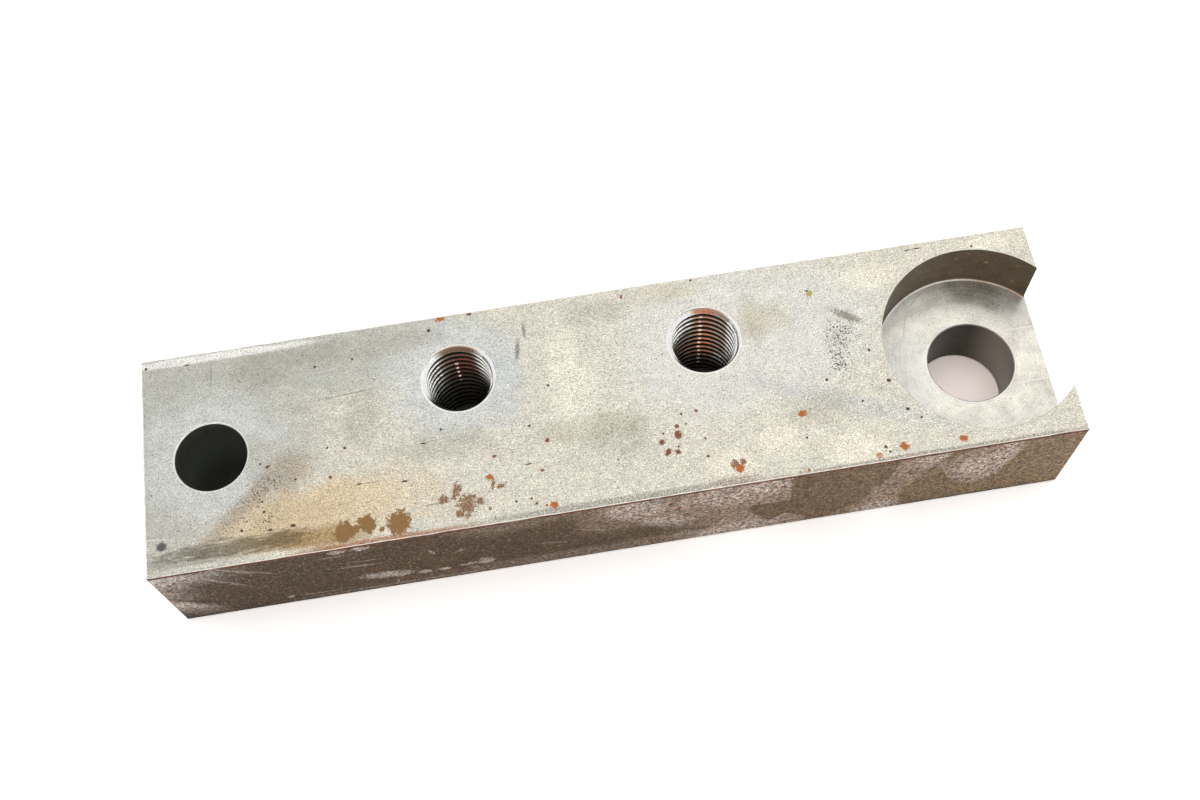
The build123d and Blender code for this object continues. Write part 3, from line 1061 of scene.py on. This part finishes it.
def finish_of(face):
    """The material that a face of the finished block takes, by its place and its direction."""
    place = face.center / MM
    normal = face.normal
    if normal.z > FLAT:
        return "ground_steel" if place.z > FLOOR_Z + CLEAR else "turned_steel"
    if normal.z < -FLAT:
        return "oxide_underside"
    spot = place.xy
    upright = abs(normal.z) < UPRIGHT
    if (spot - Vector(PLAIN_HOLE)).length < PLAIN_RADIUS + HOLE_CHAMFER:
        return "drilled_wall" if upright else "edge_steel"
    if min((spot - Vector(axis)).length for axis in TAPPED_HOLES) < COUNTERSINK_RADIUS:
        if LEAST_SLOPE < normal.z < MOST_SLOPE and place.z > HEIGHT - COUNTERSINK_DEPTH:
            return "countersink"
        return "thread_crest" if normal.z < THREAD_FLAT else "cut_thread"
    if normal.y < -FLAT and place.y < CLOSE - WIDTH / 2:
        return "oxide_front"
    at_end = abs(normal.x) > FLAT and abs(place.x) > LENGTH / 2 - CLOSE
    if at_end or (normal.y > FLAT and place.y > WIDTH / 2 - CLOSE):
        return "oxide_side"
    from_axis = (spot - Vector(COUNTERBORE)).length
    if upright and from_axis < BORE_RADIUS + HOLE_CHAMFER:
        return "bore_wall"
    if upright and from_axis < COUNTERBORE_RADIUS + RIM_CHAMFER:
        return "counterbore_wall"
    return "root_steel" if FLOOR_Z < place.z < HEIGHT - CLEAR else "edge_steel"


FINISHES = [
    top_steel, turned_steel, edge_steel, root_steel, front_coat, other_coat, under_coat, counterbore_wall,
    bore_wall, drilled_wall, thread_crest, thread_steel, rim_steel,
]


def dress(block):
    """Makes the materials and gives each face its own."""
    block.data.materials.clear()
    for make in FINISHES:
        block.data.materials.append(make().finish())
    for face in block.data.polygons:
        face.material_index = block.data.materials.find(finish_of(face))


block = machined_block()
weighted = block.modifiers.new("normals", "WEIGHTED_NORMAL")
weighted.keep_sharp = True
block.data.shade_smooth()
block.data.set_sharp_from_angle(angle=SHARP_ANGLE)
dress(block)
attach(block, "root")
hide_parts(NODE)

# ---- camera, floor and light
CAMERA_PLACE = (-15.93, -179.81, 428.13)
CAMERA_TURN = (24.6871, 1.9802, -8.9073)
FOCAL_LENGTH = 43.176
SENSOR_WIDTH = 36.0
FLOOR_REACH = 3000.0
FLOOR_LEVEL = -0.02
FLOOR_LAP = 0.4
PALE_FLOOR = (0.86, 0.86, 0.86, 1)
MIRRORED_PAPER = (1.5, 1.38, 1.33, 1)
PAINTED_SHADE_PAPER = (120, 116, 108)
# Each paper's name, its colour seen straight and its colour in reflections; two hold painted shade and
# painted light
PAPERS = [
    ("paper", (1.7, 1.66, 1.64, 1), MIRRORED_PAPER),
    # painted shade: grey paper under the plain hole and the taps
    ("paper_under_holes", PAINTED_SHADE_PAPER, PAINTED_SHADE_PAPER),
    # painted light: paper under the bore, brighter than the paper round the block
    ("paper_under_bore", (2.35, 2.08, 1.98, 1), MIRRORED_PAPER),
]
SKY_LEVEL = 0.9
LAMP_PLACE = (350.0, 450.0, 1200.0)
LAMP_SIZE = 1500.0
LAMP_POWER = 2.5

camera_data = bpy.data.cameras.new("camera")
camera_data.lens = FOCAL_LENGTH
camera_data.sensor_width = SENSOR_WIDTH
camera = stand("camera", camera_data, CAMERA_PLACE)
camera.rotation_euler = [math.radians(a) for a in CAMERA_TURN]
bpy.context.scene.camera = camera


def seen(tree):
    """1 for what the camera sees, straight or in a reflection, and 0 for the light that falls."""
    path = tree.nodes.new("ShaderNodeLightPath").outputs
    either = add_node(tree, "Math", [path["Is Camera Ray"], path["Is Glossy Ray"]], operation="ADD")
    return add_node(tree, "Math", [either, path["Is Transmission Ray"]], operation="ADD", use_clamp=True)


def paper_material(name, straight, mirrored):
    """Paper that shows one colour straight and one in reflections, and lights the block as a pale floor."""
    material = bpy.data.materials.new(name)
    material.use_nodes = True
    tree = material.node_tree
    paper = tree.nodes["Principled BSDF"]
    paper.inputs["Base Color"].default_value = PALE_FLOOR
    paper.inputs["Roughness"].default_value = 1.0
    in_mirror = add_node(tree, "LightPath", [], "Is Glossy Ray")
    tone = add_node(tree, "Mix", {0: in_mirror, 6: straight, 7: mirrored}, 2, data_type="RGBA")
    shown = add_node(tree, "BsdfDiffuse", {"Color": tone})
    mix = add_node(tree, "MixShader", [seen(tree), paper.outputs[0], shown])
    tree.links.new(mix, tree.nodes["Material Output"].inputs["Surface"])
    return material


def floor_piece():
    """Paper all round the block and in a disc under each hole, left open elsewhere to show the underside."""
    inset = EDGE_RADIUS + FLOOR_LAP
    square = [(-1, -1), (1, -1), (1, 1), (-1, 1)]
    points = [(x * FLOOR_REACH, y * FLOOR_REACH, FLOOR_LEVEL) for x, y in square]
    points += [(x * (LENGTH / 2 - inset), y * (WIDTH / 2 - inset), FLOOR_LEVEL) for x, y in square]
    faces = [(i, (i + 1) % 4, 4 + (i + 1) % 4, 4 + i) for i in range(4)]
    papers = [0] * 4
    discs = [(PLAIN_HOLE, PLAIN_RADIUS, 1), (COUNTERBORE, BORE_RADIUS, 2)]
    discs += [(axis, COUNTERSINK_RADIUS, 1) for axis in TAPPED_HOLES]
    for centre, radius, paper in discs:
        faces.append(tuple(range(len(points), len(points) + ROUND_STEPS)))
        points += circle(centre, radius + inset, FLOOR_LEVEL)
        papers.append(paper)
    piece = mesh_object("floor", points, faces)
    for name, straight, mirrored in PAPERS:
        piece.data.materials.append(paper_material(name, straight, mirrored))
    for polygon, paper in zip(piece.data.polygons, papers):
        polygon.material_index = paper
    return piece


floor = floor_piece()

world = bpy.data.worlds.new("world")
world.use_nodes = True
sky = world.node_tree.nodes["Background"]
sky.inputs["Color"].default_value = (1, 1, 1, 1)
level = add_node(world.node_tree, "Mix", {0: seen(world.node_tree), 2: SKY_LEVEL, 3: 1.0})
world.node_tree.links.new(level, sky.inputs["Strength"])
bpy.context.scene.world = world

lamp_data = bpy.data.lights.new("softbox", "AREA")
lamp_data.size = LAMP_SIZE * MM
lamp_data.energy = LAMP_POWER
lamp = stand("softbox", lamp_data, LAMP_PLACE)
lamp.rotation_euler = Vector(LAMP_PLACE).to_track_quat("Z", "Y").to_euler()

bpy.context.scene.view_settings.view_transform = "Standard"
